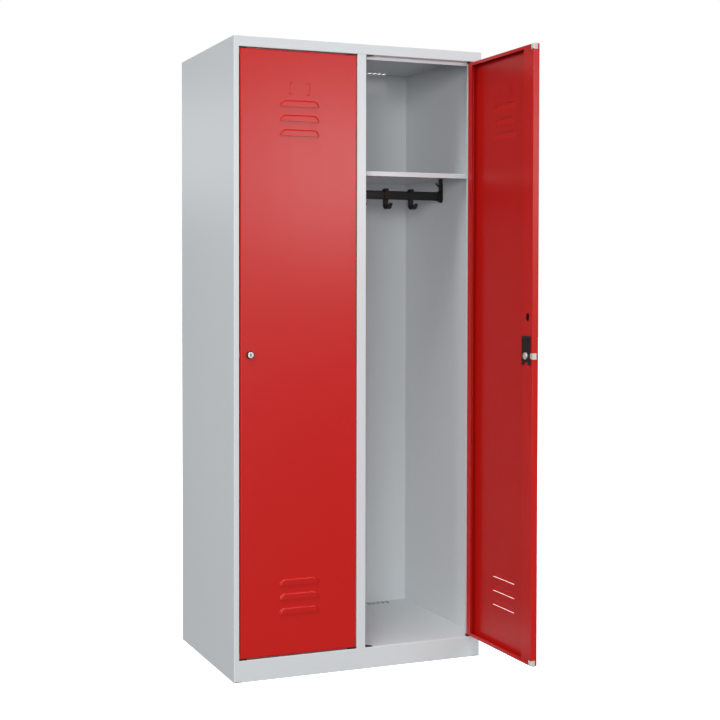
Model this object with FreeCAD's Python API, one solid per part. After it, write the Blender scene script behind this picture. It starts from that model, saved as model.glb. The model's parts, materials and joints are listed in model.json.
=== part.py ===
"""Steel clothing locker: two compartments, each with a hinged door, a hat shelf and a coat rail.

Millimetres, +Z up, front towards -Y.
The origin is the middle of the base, on the surface the locker stands on.
The left door is shut. The right door is modelled shut and then swung open to a right angle.
"""
import FreeCAD, Part
import math
import os

V = FreeCAD.Vector

# Cabinet
CABINET_WIDTH = 800.0
CABINET_DEPTH = 500.0
CABINET_HEIGHT = 1850.0
SHEET = 0.8
BEND = 1.2
PLINTH_HEIGHT = 63.0
PLINTH_HEM = 15.0
PLINTH_END = 24.0
PLINTH_END_LIFT = 3.0
FASCIA_HEIGHT = 30.0
JAMB_FACE = 16.0
POST_FACE = 29.0
REBATE_DEPTH = 22.5
STOP_AT_HINGE = 21.0
STOP_AT_LOCK = 9.0
STOP_AT_TOP = 10.0
SEAM_FLANGE = 12.0
PARTITION_OVERLAP = 8.0

# Air slots in the roof and the floor
ROOF_VENTS = 13
FLOOR_VENTS = 15
VENT_PITCH = 17.3
VENT_LENGTH = 24.0
VENT_WIDTH = 11.0
VENT_FROM_BACK = 22.0

# Hat shelf and coat rail
SHELF_TOP = 1484.0
SHELF_FLANGE = 14.0
SHELF_RECESS = 60.0
RAIL_BELOW_SHELF = 57.0
RAIL_HEIGHT = 28.0
RAIL_THICKNESS = 10.0
RAIL_WALL = 1.6
BRACKET_PLATE = 4.0
BRACKET_WIDTH = 24.0
BRACKET_NECK = 22.0
BRACKET_DROP = 7.0
SOCKET_LENGTH = 13.0
SOCKET_WALL = 3.0
SPUR_REACH = 22.0
SPUR_RISE = 13.0
SPUR_THICKNESS = 5.0
SPUR_BELOW_SHELF = 9.0
RAIL_FIT = 0.2

# Sliding coat hooks
HOOK_SPACING = 89.0
HOOK_WIDTH = 17.0
HOOK_TIP_WIDTH = 9.0
HOOK_THICKNESS = 6.0
HOOK_BEND = 9.0
HOOK_DROP = 31.0
HOOK_REACH = 40.0
HOOK_TOE = 13.0
HOOK_TIP_RISE = 13.0
HOOK_FIT = 0.3
HOOK_BAND_WIDTH = 11.0
HOOK_BAND_WALL = 3.0
HOOK_KNOB_WIDTH = 14.6
HOOK_KNOB_RISE = 7.0
HOOK_KNOB_ROUND = 4.0

# Doors
DOOR_SHEET = 0.8
DOOR_DEPTH = 20.6
DOOR_FRONT_BEND = 3.8
DOOR_REAR_BEND = 1.8
HINGE_GAP = 2.0
LOCK_GAP = 3.0
END_GAP = 3.5
LOCK_LIP = 51.0
LOCK_RETURN_GAP = 1.0
HINGE_LIP = 24.0
END_LIP = 10.0
OPEN_ANGLE = 90.0

# Pivots: a pin at the top and bottom of each door in a plastic bush
PIVOT_FROM_EDGE = 6.0
PIVOT_FROM_SKIN = 6.0
PIN_RADIUS = 3.0
PIN_COLLAR_RADIUS = 4.8
PIN_COLLAR = 2.0
PIN_REACH = 9.0
PIN_FIT = 0.05
BUSH_WALL = 0.95
BUSH_BARREL = 7.0
BUSH_PAD_RADIUS = 19.0
REST_GAP = 0.3

# Louvres pressed out of the door skin, open along the lower edge
LOUVRE_WIDTH = 123.0
LOUVRE_HEIGHT = 18.6
LOUVRE_BULGE = 3.2
LOUVRE_SHOULDER = 5.0
LOUVRE_PITCH = 42.0
LOUVRE_COUNT = 3
UPPER_LOUVRES_FROM_TOP = 160.5
LOWER_LOUVRES_FROM_FOOT = 120.5

# Raised frame for a name card
CARD_WIDTH = 64.0
CARD_HEIGHT = 36.0
CARD_TICK = 10.0
CARD_RIB = 3.0
CARD_RELIEF = 1.2
CARD_CHAMFER = 1.1
CARD_GROOVE = 1.0
CARD_GROOVE_INSET = 0.6
CARD_LINE = 1.0
CARD_LINE_RELIEF = 0.3
CARD_FROM_TOP = 90.0

# Plastic corner caps on the free side of the door, and the pads that guide them
CAP_SIZE = 16.0
CAP_FROM_SKIN = 7.6
CAP_PAST_EDGE = 0.8
CAP_PAST_END = 0.7
CAP_PAST_LIP = 0.7
CAP_ROUND = 5.0
PAD_LENGTH = 24.0
PAD_TAPER = 14.0
PAD_DEPTH = 19.0
PAD_NOSE = 5.0

# Lock
LOCK_FROM_EDGE = 29.5
ROSETTE_RADIUS = 11.0
ROSETTE_DEPTH = 7.0
ROSETTE_ROUND = 1.5
FACE_RADIUS = 8.8
FACE_PROUD = 8.5
FACE_ROUND = 0.8
KEYWAY_WIDTH = 4.4
KEYWAY_HEIGHT = 12.4
KEYWAY_DEPTH = 6.0
BARREL_RADIUS = 9.0
BARREL_LENGTH = 7.4
SHANK_RADIUS = 6.0
SHAFT_RADIUS = 3.0
MOVING_GAP = 0.3
DRIVE_ECCENTRIC = 5.66
DRIVE_PIN_RADIUS = 1.75
DRIVE_PIN_PLAY = 0.45
HUB_RADIUS = 10.0
HUB_PAST_LIP = 7.0
HUB_CHAMFER = 1.2
BOLT_HALF_HEIGHT = 8.75
BOLT_FROM_SKIN = 8.0
BOLT_TAIL = 4.8
BOLT_PAST_LIP = 2.5
BOLT_PAST_EDGE = 2.0
BOLT_CHAMFER = 2.5
BOLT_END_WALL = 2.7
CASE_WIDTH = 43.0
CASE_BELOW_AXIS = 25.5
CASE_ABOVE_AXIS = 56.5
CASE_PROUD = 3.0
CASE_CORNER = 3.0
CASE_NOTCH = 8.0
CASE_WALL = 2.8
CASE_BODY_ABOVE = 24.0
STRIKE_MARGIN = 1.75
LIP_SLOT_WIDTH = 15.0
LIP_SLOT_HEIGHT = 23.0
LIP_SLOT_ABOVE_LOCK = 110.0
LIP_SLOT_FROM_EDGE = 25.0

# Places that follow from the sizes above
HALF_WIDTH = CABINET_WIDTH / 2
FRONT = -CABINET_DEPTH / 2
BACK = CABINET_DEPTH / 2
WALL_INSIDE = HALF_WIDTH - SHEET
FLOOR = PLINTH_HEIGHT
LINTEL = CABINET_HEIGHT - FASCIA_HEIGHT
CEILING = CABINET_HEIGHT - SHEET
REVEAL = HALF_WIDTH - JAMB_FACE
POST_REVEAL = POST_FACE / 2
STOP = FRONT + REBATE_DEPTH
STOP_BACK = STOP + SHEET
BACK_PANEL_FACE = BACK - 2 * SHEET
REAR_SEAM_FACE = BACK_PANEL_FACE - SHEET
SEAM_CLEAR = WALL_INSIDE - BEND
RAIL_MIDDLE = SHELF_TOP - RAIL_BELOW_SHELF
RAIL_TOP = RAIL_MIDDLE + RAIL_HEIGHT / 2
RAIL_FOOT = RAIL_MIDDLE - RAIL_HEIGHT / 2
COMPARTMENT_PITCH = REVEAL + POST_REVEAL
COMPARTMENT_MIDDLE = (SHEET / 2 + WALL_INSIDE) / 2

FREE_EDGE = POST_REVEAL + LOCK_GAP
HINGE_EDGE = REVEAL - HINGE_GAP
DOOR_FOOT = FLOOR + END_GAP
DOOR_TOP = LINTEL - END_GAP
DOOR_MIDDLE = (FREE_EDGE + HINGE_EDGE) / 2
SKIN_BACK = FRONT + DOOR_SHEET
LIP_BACK = FRONT + DOOR_DEPTH
LIP_FRONT = LIP_BACK - DOOR_SHEET
PIVOT_X = HINGE_EDGE - PIVOT_FROM_EDGE
PIVOT_Y = FRONT + PIVOT_FROM_SKIN
PIN_BORE_RADIUS = PIN_RADIUS + PIN_FIT
BUSH_RADIUS = PIN_BORE_RADIUS + BUSH_WALL

LOCK_X = FREE_EDGE + LOCK_FROM_EDGE
LOCK_Z = (DOOR_FOOT + DOOR_TOP) / 2
BOLT_THROW = DRIVE_ECCENTRIC * math.sqrt(2)
BOLT_FRONT = FRONT + BOLT_FROM_SKIN
BOLT_TAIL_BACK = BOLT_FRONT + BOLT_TAIL
BOLT_BACK = LIP_BACK + BOLT_PAST_LIP
BOLT_TIP = FREE_EDGE - BOLT_PAST_EDGE
CASE_RIGHT = FREE_EDGE + LOCK_LIP
CASE_LEFT = CASE_RIGHT - CASE_WIDTH
BOLT_ROOM = BOLT_HALF_HEIGHT + MOVING_GAP
TAIL_END = LOCK_X + BOLT_THROW + SHAFT_RADIUS + MOVING_GAP + BOLT_END_WALL
HUB_FRONT = BOLT_TAIL_BACK + 2 * MOVING_GAP
HUB_ROOM = HUB_RADIUS + 4 * MOVING_GAP


def block(x0, x1, y0, y1, z0, z1):
    """Box between two corners."""
    return Part.makeBox(x1 - x0, y1 - y0, z1 - z0, V(x0, y0, z0))


def rod_z(radius, x, y, z0, z1):
    """Upright cylinder."""
    return Part.makeCylinder(radius, z1 - z0, V(x, y, z0), V(0, 0, 1))


def rod_y(radius, x, z, y0, y1):
    """Cylinder that runs from front to back."""
    return Part.makeCylinder(radius, y1 - y0, V(x, y0, z), V(0, 1, 0))


def join(first, *others):
    """One solid out of pieces that meet, without the seams between them."""
    return first.fuse(list(others)).removeSplitter()


def edges_where(shape, test):
    """Edges whose two ends both pass a test on the point."""
    return [e for e in shape.Edges if all(test(v.Point) for v in e.Vertexes)]


def near(a, b):
    return abs(a - b) < 1e-4


def round_rim(shape, y, radius):
    """Circular edge of a rod that runs from front to back, at the end with the given y."""
    return [e for e in edges_where(shape, lambda p: near(p.y, y)) if e.Length > radius * math.pi]


def outline(points):
    """Flat face inside a closed run of straight edges."""
    return Part.Face(Part.makePolygon(points + points[:1]))


def stadium(place, half_long, half_short):
    """Flat face with straight long sides and round ends, long in the second coordinate of place."""
    straight = half_long - half_short
    low_left, low_right = place(-half_short, -straight), place(half_short, -straight)
    high_left, high_right = place(-half_short, straight), place(half_short, straight)
    edges = [
        Part.LineSegment(low_right, high_right).toShape(),
        Part.Arc(high_right, place(0, half_long), high_left).toShape(),
        Part.LineSegment(high_left, low_left).toShape(),
        Part.Arc(low_left, place(0, -half_long), low_right).toShape(),
    ]
    return Part.Face(Part.Wire(edges))


def folded_sheet(points, thickness, bend, place, run):
    """Sheet folded along a path, its metal on the left of the path, drawn out along run.

    The points are (u, v) pairs that place turns into vectors, and bend is the radius inside each fold.
    """
    pairs = list(zip(points, points[1:]))
    ways = [((b[0] - a[0]) / math.dist(a, b), (b[1] - a[1]) / math.dist(a, b)) for a, b in pairs]
    lefts = [(-way[1], way[0]) for way in ways]

    def shifted(point, direction, distance):
        return (point[0] + direction[0] * distance, point[1] + direction[1] * distance)

    faces = {0.0: [], thickness: []}
    start = points[0]
    for corner, way, next_way, left, next_left in zip(points[1:], ways, ways[1:], lefts, lefts[1:]):
        cross = way[0] * next_way[1] - way[1] * next_way[0]
        turn = math.atan2(cross, way[0] * next_way[0] + way[1] * next_way[1])
        side = 1 if turn > 0 else -1
        radius = bend + thickness if turn > 0 else bend
        tangent = radius * math.tan(abs(turn) / 2)
        enter, leave = shifted(corner, way, -tangent), shifted(corner, next_way, tangent)
        centre = shifted(enter, left, side * radius)
        reach = math.dist(corner, centre)
        outward = ((corner[0] - centre[0]) / reach, (corner[1] - centre[1]) / reach)
        for offset, edges in faces.items():
            first, last = shifted(start, left, offset), shifted(enter, left, offset)
            middle = shifted(centre, outward, radius - side * offset)
            end = shifted(leave, next_left, offset)
            edges.append(Part.LineSegment(place(*first), place(*last)).toShape())
            edges.append(Part.Arc(place(*last), place(*middle), place(*end)).toShape())
        start = leave
    for offset, edges in faces.items():
        first, last = shifted(start, lefts[-1], offset), shifted(points[-1], lefts[-1], offset)
        edges.append(Part.LineSegment(place(*first), place(*last)).toShape())
    tips = [(points[0], lefts[0]), (points[-1], lefts[-1])]
    caps = [Part.LineSegment(place(*p), place(*shifted(p, left, thickness))).toShape() for p, left in tips]
    edges = faces[0.0] + faces[thickness] + caps
    return Part.Face(Part.Wire(Part.__sortEdges__(edges))).extrude(run)


def upright_sheet(points, z0, z1):
    """Folded sheet with a plan of (x, y) points."""
    return folded_sheet(points, SHEET, BEND, lambda x, y: V(x, y, z0), V(0, 0, z1 - z0))


def mirrored(shape):
    """The same piece for the other side of the cabinet."""
    return shape.mirror(V(0, 0, 0), V(1, 0, 0))


def hollow_block(corners, sheet, front_round, rear_round):
    """Closed sheet-metal box with rounded edges round its front and its rear."""

    def rounded(x0, x1, y0, y1, z0, z1, front, rear):
        body = block(x0, x1, y0, y1, z0, z1)
        body = body.makeFillet(front, edges_where(body, lambda p: near(p.y, y0)))
        return body.makeFillet(rear, edges_where(body, lambda p: near(p.y, y1)))

    x0, x1, y0, y1, z0, z1 = corners
    outer = rounded(x0, x1, y0, y1, z0, z1, front_round, rear_round)
    space = (x0 + sheet, x1 - sheet, y0 + sheet, y1 - sheet, z0 + sheet, z1 - sheet)
    return outer.cut(rounded(*space, front_round - sheet, rear_round - sheet))


def vent_slots(count, middle, z0, z1):
    """Row of slots near the back of one compartment."""
    slots = []
    for i in range(count):
        x = middle + (i - (count - 1) / 2) * VENT_PITCH
        y = BACK - VENT_FROM_BACK
        face = stadium(lambda u, v, x=x: V(x + u, y + v, z0), VENT_LENGTH / 2, VENT_WIDTH / 2)
        slots.append(face.extrude(V(0, 0, z1 - z0)))
    return slots


def strike_room(reveal):
    """Space the bolt needs in the lock side of a door opening, given the face the bolt enters."""
    reach = BOLT_THROW + BOLT_PAST_EDGE - LOCK_GAP + STRIKE_MARGIN
    height = BOLT_HALF_HEIGHT + STRIKE_MARGIN
    return block(
        reveal - reach, reveal + STOP_AT_LOCK + STRIKE_MARGIN,
        BOLT_FRONT - STRIKE_MARGIN, BOLT_BACK + STRIKE_MARGIN,
        LOCK_Z - height, LOCK_Z + height,
    )


def right_hand_wall(stop):
    """Side wall with its front jamb and stop, and a flange behind for the back panel."""
    behind = [(HALF_WIDTH, FRONT), (HALF_WIDTH, BACK), (HALF_WIDTH - SEAM_FLANGE, BACK)]
    jamb = [(REVEAL - stop, STOP), (REVEAL, STOP), (REVEAL, FRONT)]
    foot = upright_sheet([(HALF_WIDTH - PLINTH_END, FRONT)] + behind, 0, FLOOR)
    middle = upright_sheet(jamb + behind, FLOOR, LINTEL)
    head = upright_sheet([(REVEAL, FRONT)] + behind, LINTEL, CABINET_HEIGHT)
    lift = block(
        HALF_WIDTH - PLINTH_END, HALF_WIDTH - SHEET - BEND, FRONT, FRONT + SHEET, 0, PLINTH_END_LIFT
    )
    return join(foot, middle, head).cut(lift).cut(mitre())


def mitre():
    """Corner above the slanting seam between a jamb and the fascia, at the front only."""
    corner = [
        V(REVEAL, FRONT, LINTEL), V(HALF_WIDTH, FRONT, CABINET_HEIGHT), V(REVEAL, FRONT, CABINET_HEIGHT)
    ]
    return outline(corner).extrude(V(0, SHEET + BEND, 0))


def below_mitre():
    """Corner below that seam, which the fascia leaves to the jamb."""
    corner = [
        V(REVEAL, FRONT, LINTEL), V(HALF_WIDTH, FRONT, CABINET_HEIGHT), V(HALF_WIDTH, FRONT, LINTEL)
    ]
    return outline(corner).extrude(V(0, REBATE_DEPTH + SHEET, 0))


def rear_corners(z0, z1):
    """Room for the inside of the walls' rear folds."""
    fold = BACK - SHEET - BEND
    return [
        block(SEAM_CLEAR, HALF_WIDTH, fold, BACK, z0, z1),
        block(-HALF_WIDTH, -SEAM_CLEAR, fold, BACK, z0, z1),
    ]


def roof_panel():
    """Roof folded down at the front into the fascia, the rebate for the doors and their stop."""
    section = [
        (BACK_PANEL_FACE, CABINET_HEIGHT - SEAM_FLANGE), (BACK_PANEL_FACE, CABINET_HEIGHT),
        (FRONT, CABINET_HEIGHT), (FRONT, LINTEL), (STOP, LINTEL), (STOP, LINTEL - STOP_AT_TOP),
    ]
    roof = folded_sheet(
        section, SHEET, BEND, lambda y, z: V(-WALL_INSIDE, y, z), V(2 * WALL_INSIDE, 0, 0)
    )
    seam = CABINET_HEIGHT - SEAM_FLANGE
    for side in (-1, 1):
        x0, x1 = sorted((side * WALL_INSIDE, side * (WALL_INSIDE - SHEET)))
        roof = roof.fuse(block(x0, x1, STOP_BACK, REAR_SEAM_FACE - BEND, seam, CABINET_HEIGHT - SHEET / 2))
    stop_space = (STOP - BEND, STOP_BACK, LINTEL - STOP_AT_TOP, LINTEL)
    taken = [
        block(REVEAL - STOP_AT_HINGE, HALF_WIDTH, *stop_space),
        block(-HALF_WIDTH, STOP_AT_LOCK - REVEAL, *stop_space),
        block(-POST_REVEAL - STOP_AT_HINGE, POST_REVEAL + STOP_AT_LOCK, *stop_space),
        below_mitre(), mirrored(below_mitre()),
    ]
    taken += rear_corners(seam, CABINET_HEIGHT)
    for middle in (-COMPARTMENT_MIDDLE, COMPARTMENT_MIDDLE):
        taken += vent_slots(ROOF_VENTS, middle, CEILING, CABINET_HEIGHT)
    for pivot in (PIVOT_X, PIVOT_X - COMPARTMENT_PITCH):
        taken.append(rod_z(BUSH_RADIUS + PIN_FIT, pivot, PIVOT_Y, LINTEL, LINTEL + SHEET))
    return roof.cut(taken).removeSplitter()


def base_tray():
    """Floor of both compartments, folded down all round, with the plinth as its front."""
    front_round = SHEET + BEND
    body = block(-WALL_INSIDE, WALL_INSIDE, FRONT, BACK_PANEL_FACE, 0, FLOOR)
    body = body.makeFillet(front_round, edges_where(body, lambda p: near(p.y, FRONT) and near(p.z, FLOOR)))
    room = block(
        -WALL_INSIDE + SHEET, WALL_INSIDE - SHEET,
        FRONT + SHEET, BACK_PANEL_FACE - SHEET,
        SHEET, FLOOR - SHEET,
    )
    sill = edges_where(room, lambda p: near(p.y, FRONT + SHEET) and near(p.z, FLOOR - SHEET))
    room = room.makeFillet(BEND, sill)
    hem_x = WALL_INSIDE - PLINTH_HEM
    underside = block(-hem_x, hem_x, FRONT + PLINTH_HEM, BACK_PANEL_FACE - PLINTH_HEM, 0, SHEET)
    taken = [room, underside] + rear_corners(0, FLOOR)
    plinth_end = HALF_WIDTH - PLINTH_END
    for x0, x1 in ((plinth_end, HALF_WIDTH), (-HALF_WIDTH, -plinth_end)):
        taken.append(block(x0, x1, FRONT, FRONT + front_round, 0, FLOOR))
    for middle in (-COMPARTMENT_MIDDLE, COMPARTMENT_MIDDLE):
        taken += vent_slots(FLOOR_VENTS, middle, FLOOR - SHEET, FLOOR)
    for pivot in (PIVOT_X, PIVOT_X - COMPARTMENT_PITCH):
        taken.append(rod_z(BUSH_RADIUS + PIN_FIT, pivot, PIVOT_Y, FLOOR - SHEET, FLOOR))
    return body.cut(taken)


def centre_post():
    """Hat section between the two doors, with the stop of one door on each side."""
    plan = [
        (-POST_REVEAL - STOP_AT_HINGE, STOP), (-POST_REVEAL, STOP), (-POST_REVEAL, FRONT),
        (POST_REVEAL, FRONT), (POST_REVEAL, STOP), (POST_REVEAL + STOP_AT_LOCK, STOP),
    ]
    return upright_sheet(plan, FLOOR, LINTEL).cut(strike_room(POST_REVEAL))


def centre_partition():
    """Wall between the compartments, seamed to the post in front and to the back panel behind."""
    face = SHEET / 2
    plan = [
        (POST_REVEAL + PARTITION_OVERLAP, STOP_BACK + SHEET), (face, STOP_BACK + SHEET),
        (face, REAR_SEAM_FACE), (face + SEAM_FLANGE, REAR_SEAM_FACE),
    ]
    wall = upright_sheet(plan, FLOOR, CEILING)
    seam = CABINET_HEIGHT - SEAM_FLANGE - BEND
    roof_seam = block(-face, HALF_WIDTH, REAR_SEAM_FACE - BEND, BACK, seam, CEILING)
    return wall.cut([strike_room(POST_REVEAL), roof_seam])


def hat_shelf():
    """Shelf folded down on all four sides."""
    front, rear = FRONT + SHELF_RECESS, REAR_SEAM_FACE - BEND
    x0, x1, low = SHEET / 2, WALL_INSIDE, SHELF_TOP - SHELF_FLANGE
    body = block(x0, x1, front, rear, low, SHELF_TOP)
    room = block(x0 + SHEET, x1 - SHEET, front + SHEET, rear - SHEET, low, SHELF_TOP - SHEET)
    over = edges_where(body, lambda p: near(p.y, front) and near(p.z, SHELF_TOP))
    body = body.makeFillet(SHEET + BEND, over)
    under = edges_where(room, lambda p: near(p.y, front + SHEET) and near(p.z, SHELF_TOP - SHEET))
    return body.cut(room.makeFillet(BEND, under))


def rail_section(x, grow):
    """Outline of the coat rail, grown by an equal margin."""
    return stadium(
        lambda y, z: V(x, y, RAIL_MIDDLE + z), RAIL_HEIGHT / 2 + grow, RAIL_THICKNESS / 2 + grow
    )


def coat_rail():
    """Hollow rail between the two brackets."""
    start = SHEET / 2 + BRACKET_PLATE
    run = V(WALL_INSIDE - BRACKET_PLATE - start, 0, 0)
    return rail_section(start, 0).extrude(run).cut(rail_section(start, -RAIL_WALL).extrude(run))


def wall_bracket():
    """Rail end bracket for the right-hand wall: a plate below the shelf, a socket and a raised spur."""
    shelf_under = SHELF_TOP - SHEET
    plate_x = WALL_INSIDE - BRACKET_PLATE
    thick = V(BRACKET_PLATE, 0, 0)
    round_z = RAIL_FOOT - BRACKET_DROP + BRACKET_WIDTH / 2
    shoulder = RAIL_TOP + SOCKET_WALL
    half, neck = BRACKET_WIDTH / 2, BRACKET_NECK / 2
    plate = join(
        Part.makeCylinder(half, BRACKET_PLATE, V(plate_x, 0, round_z), V(1, 0, 0)),
        block(plate_x, WALL_INSIDE, -half, half, round_z, shoulder),
        outline([
            V(plate_x, -half, shoulder), V(plate_x, half, shoulder),
            V(plate_x, neck, shoulder + half - neck), V(plate_x, -neck, shoulder + half - neck),
        ]).extrude(thick),
        block(plate_x, WALL_INSIDE, -neck, neck, shoulder, shelf_under),
    )
    tip_y, tip_top = neck + SPUR_REACH, shelf_under - SPUR_BELOW_SHELF
    spur = outline([
        V(plate_x, 0, tip_top - SPUR_RISE), V(plate_x, neck, tip_top - SPUR_RISE), V(plate_x, tip_y, tip_top),
        V(plate_x, tip_y, tip_top - SPUR_THICKNESS), V(plate_x, neck, tip_top - SPUR_RISE - SPUR_THICKNESS),
        V(plate_x, 0, tip_top - SPUR_RISE - SPUR_THICKNESS),
    ]).extrude(thick)
    socket_x = WALL_INSIDE - SOCKET_LENGTH
    socket = rail_section(socket_x, SOCKET_WALL).extrude(V(SOCKET_LENGTH - BRACKET_PLATE, 0, 0))
    bore = rail_section(socket_x, RAIL_FIT).extrude(V(SOCKET_LENGTH - BRACKET_PLATE, 0, 0))
    flange_low = SHELF_TOP - SHELF_FLANGE
    shelf_flange = block(WALL_INSIDE - SHEET, WALL_INSIDE, FRONT, BACK, flange_low, SHELF_TOP)
    return join(plate, spur, socket).cut([bore, shelf_flange])


def coat_hook(x):
    """Clip round the rail with a knob on top, and a tapering hook below that turns up at its tip."""
    half, half_tip, half_thick = HOOK_WIDTH / 2, HOOK_TIP_WIDTH / 2, HOOK_THICKNESS / 2
    run = V(HOOK_WIDTH, 0, 0)
    foot = RAIL_FOOT - HOOK_DROP
    toe_corner = HOOK_TOE - HOOK_REACH
    path = [
        (-HOOK_REACH, foot + HOOK_TIP_RISE), (toe_corner, foot),
        (half_thick, foot), (half_thick, RAIL_FOOT - HOOK_FIT),
    ]
    stem = folded_sheet(path, HOOK_THICKNESS, HOOK_BEND, lambda y, z: V(x - half, y, z), run)
    slope = math.hypot(HOOK_TOE, HOOK_TIP_RISE)
    tip_y = half_thick * HOOK_TIP_RISE / slope - HOOK_REACH
    tip_z = half_thick * HOOK_TOE / slope + foot + HOOK_TIP_RISE
    tip = Part.makeCylinder(half_thick, HOOK_WIDTH, V(x - half, tip_y, tip_z), V(1, 0, 0))
    nose = -HOOK_REACH - half_thick
    plan = [
        (x - half, HOOK_THICKNESS), (x - half, -half_thick), (x - half_tip, nose),
        (x + half_tip, nose), (x + half, -half_thick), (x + half, HOOK_THICKNESS),
    ]
    taper = outline([V(u, v, foot - half_thick) for u, v in plan]).extrude(V(0, 0, HOOK_DROP + half_thick))
    band_start = x - HOOK_BAND_WIDTH / 2
    band = rail_section(band_start, HOOK_FIT + HOOK_BAND_WALL).extrude(V(HOOK_BAND_WIDTH, 0, 0))
    band_half = RAIL_THICKNESS / 2 + HOOK_FIT + HOOK_BAND_WALL
    knob_top = RAIL_TOP + HOOK_KNOB_RISE
    half_knob = HOOK_KNOB_WIDTH / 2
    knob = block(x - half_knob, x + half_knob, -band_half, band_half, RAIL_TOP, knob_top)
    crown = [e for e in edges_where(knob, lambda p: near(p.z, knob_top)) if near(e.Length, 2 * band_half)]
    knob = knob.makeFillet(HOOK_KNOB_ROUND, crown)
    hook = join(band, knob, join(stem, tip).common(taper))
    return hook.cut(rail_section(x - half, HOOK_FIT).extrude(run))


def louvre(foot, width, height, bulge):
    """Flat hood in front of the door skin, with a round shoulder, rounded ends and a straight lower edge."""
    half_run = width / 2 - height
    start, end = DOOR_MIDDLE - half_run, DOOR_MIDDLE + half_run

    def section(x):
        bottom, top = V(x, FRONT, foot), V(x, FRONT, foot + height)
        nose, brow = V(x, FRONT - bulge, foot), V(x, FRONT - bulge, foot + height - LOUVRE_SHOULDER)
        centre = V(x, FRONT, foot + height - LOUVRE_SHOULDER)
        shoulder = Part.ArcOfEllipse(Part.Ellipse(top, brow, centre), 0, math.pi / 2).toShape()
        legs = [Part.LineSegment(a, b).toShape() for a, b in ((brow, nose), (nose, bottom), (bottom, top))]
        return Part.Face(Part.Wire([shoulder] + legs))

    body = section(start).extrude(V(end - start, 0, 0))
    left = section(start).revolve(V(start, 0, foot), V(0, 1, 0), -90)
    right = section(end).revolve(V(end, 0, foot), V(0, 1, 0), 90)
    return join(body, left, right)


def louvre_mouth(foot, width, height):
    """Hole in the door skin behind a louvre."""
    half_run = width / 2 - height
    mouth = block(DOOR_MIDDLE - half_run, DOOR_MIDDLE + half_run, FRONT, SKIN_BACK, foot, foot + height)
    for x in (DOOR_MIDDLE - half_run, DOOR_MIDDLE + half_run):
        end = rod_y(height, x, foot, FRONT, SKIN_BACK)
        mouth = mouth.fuse(end.cut(block(x - height, x + height, FRONT, SKIN_BACK, foot - height, foot)))
    return mouth


def card_bracket(side, grow, y0, depth):
    """One upright of the name-card frame, a tick at each end, on side -1 or 1 of the door's middle."""
    half_width, half_height = CARD_WIDTH / 2, CARD_HEIGHT / 2
    z = DOOR_TOP - CARD_FROM_TOP - half_height
    half_rib = CARD_RIB / 2 + grow
    spine, tip = half_width - CARD_RIB / 2, half_width - CARD_TICK
    reach, inner = half_height - CARD_RIB / 2 + half_rib, half_height - CARD_RIB / 2 - half_rib
    points = [
        (spine + half_rib, -reach), (spine + half_rib, reach), (tip - grow, reach), (tip - grow, inner),
        (spine - half_rib, inner), (spine - half_rib, -inner), (tip - grow, -inner), (tip - grow, -reach),
    ]
    face = outline([V(DOOR_MIDDLE + side * x, y0, z + v) for x, v in points])
    return face.extrude(V(0, depth, 0))


def card_frame():
    """Raised brackets on the front of the door, and the grooves behind them."""
    raised, grooves = [], []
    for side in (-1, 1):
        rib = card_bracket(side, 0, FRONT - CARD_RELIEF, CARD_RELIEF)
        rim = edges_where(rib, lambda p: near(p.y, FRONT - CARD_RELIEF))
        raised.append(rib.makeChamfer(CARD_CHAMFER, rim))
        grooves.append(card_bracket(side, -CARD_GROOVE_INSET, SKIN_BACK - CARD_GROOVE, CARD_GROOVE))
    line_end = CARD_WIDTH / 2 - CARD_TICK
    line_top = DOOR_TOP - CARD_FROM_TOP
    raised.append(block(
        DOOR_MIDDLE - line_end, DOOR_MIDDLE + line_end, FRONT - CARD_LINE_RELIEF, FRONT,
        line_top - CARD_LINE, line_top,
    ))
    return raised, grooves


def cap_space(z_end, side):
    """Corners of the notch for a corner cap, at the top (side 1) or the foot (side -1) of the door."""
    z0, z1 = sorted((z_end, z_end - side * CAP_SIZE))
    return FREE_EDGE, FREE_EDGE + CAP_SIZE, FRONT + CAP_FROM_SKIN, LIP_BACK, z0, z1


def case_body_corners(room):
    """Part of the lock case that stands in the lip's cut-out, grown by room."""
    return (
        CASE_LEFT + CASE_WALL - room, CASE_RIGHT - CASE_WALL + room,
        BOLT_FRONT - CASE_WALL, LIP_BACK,
        LOCK_Z - HUB_ROOM - CASE_WALL - room, LOCK_Z + CASE_BODY_ABOVE + room,
    )


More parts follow.
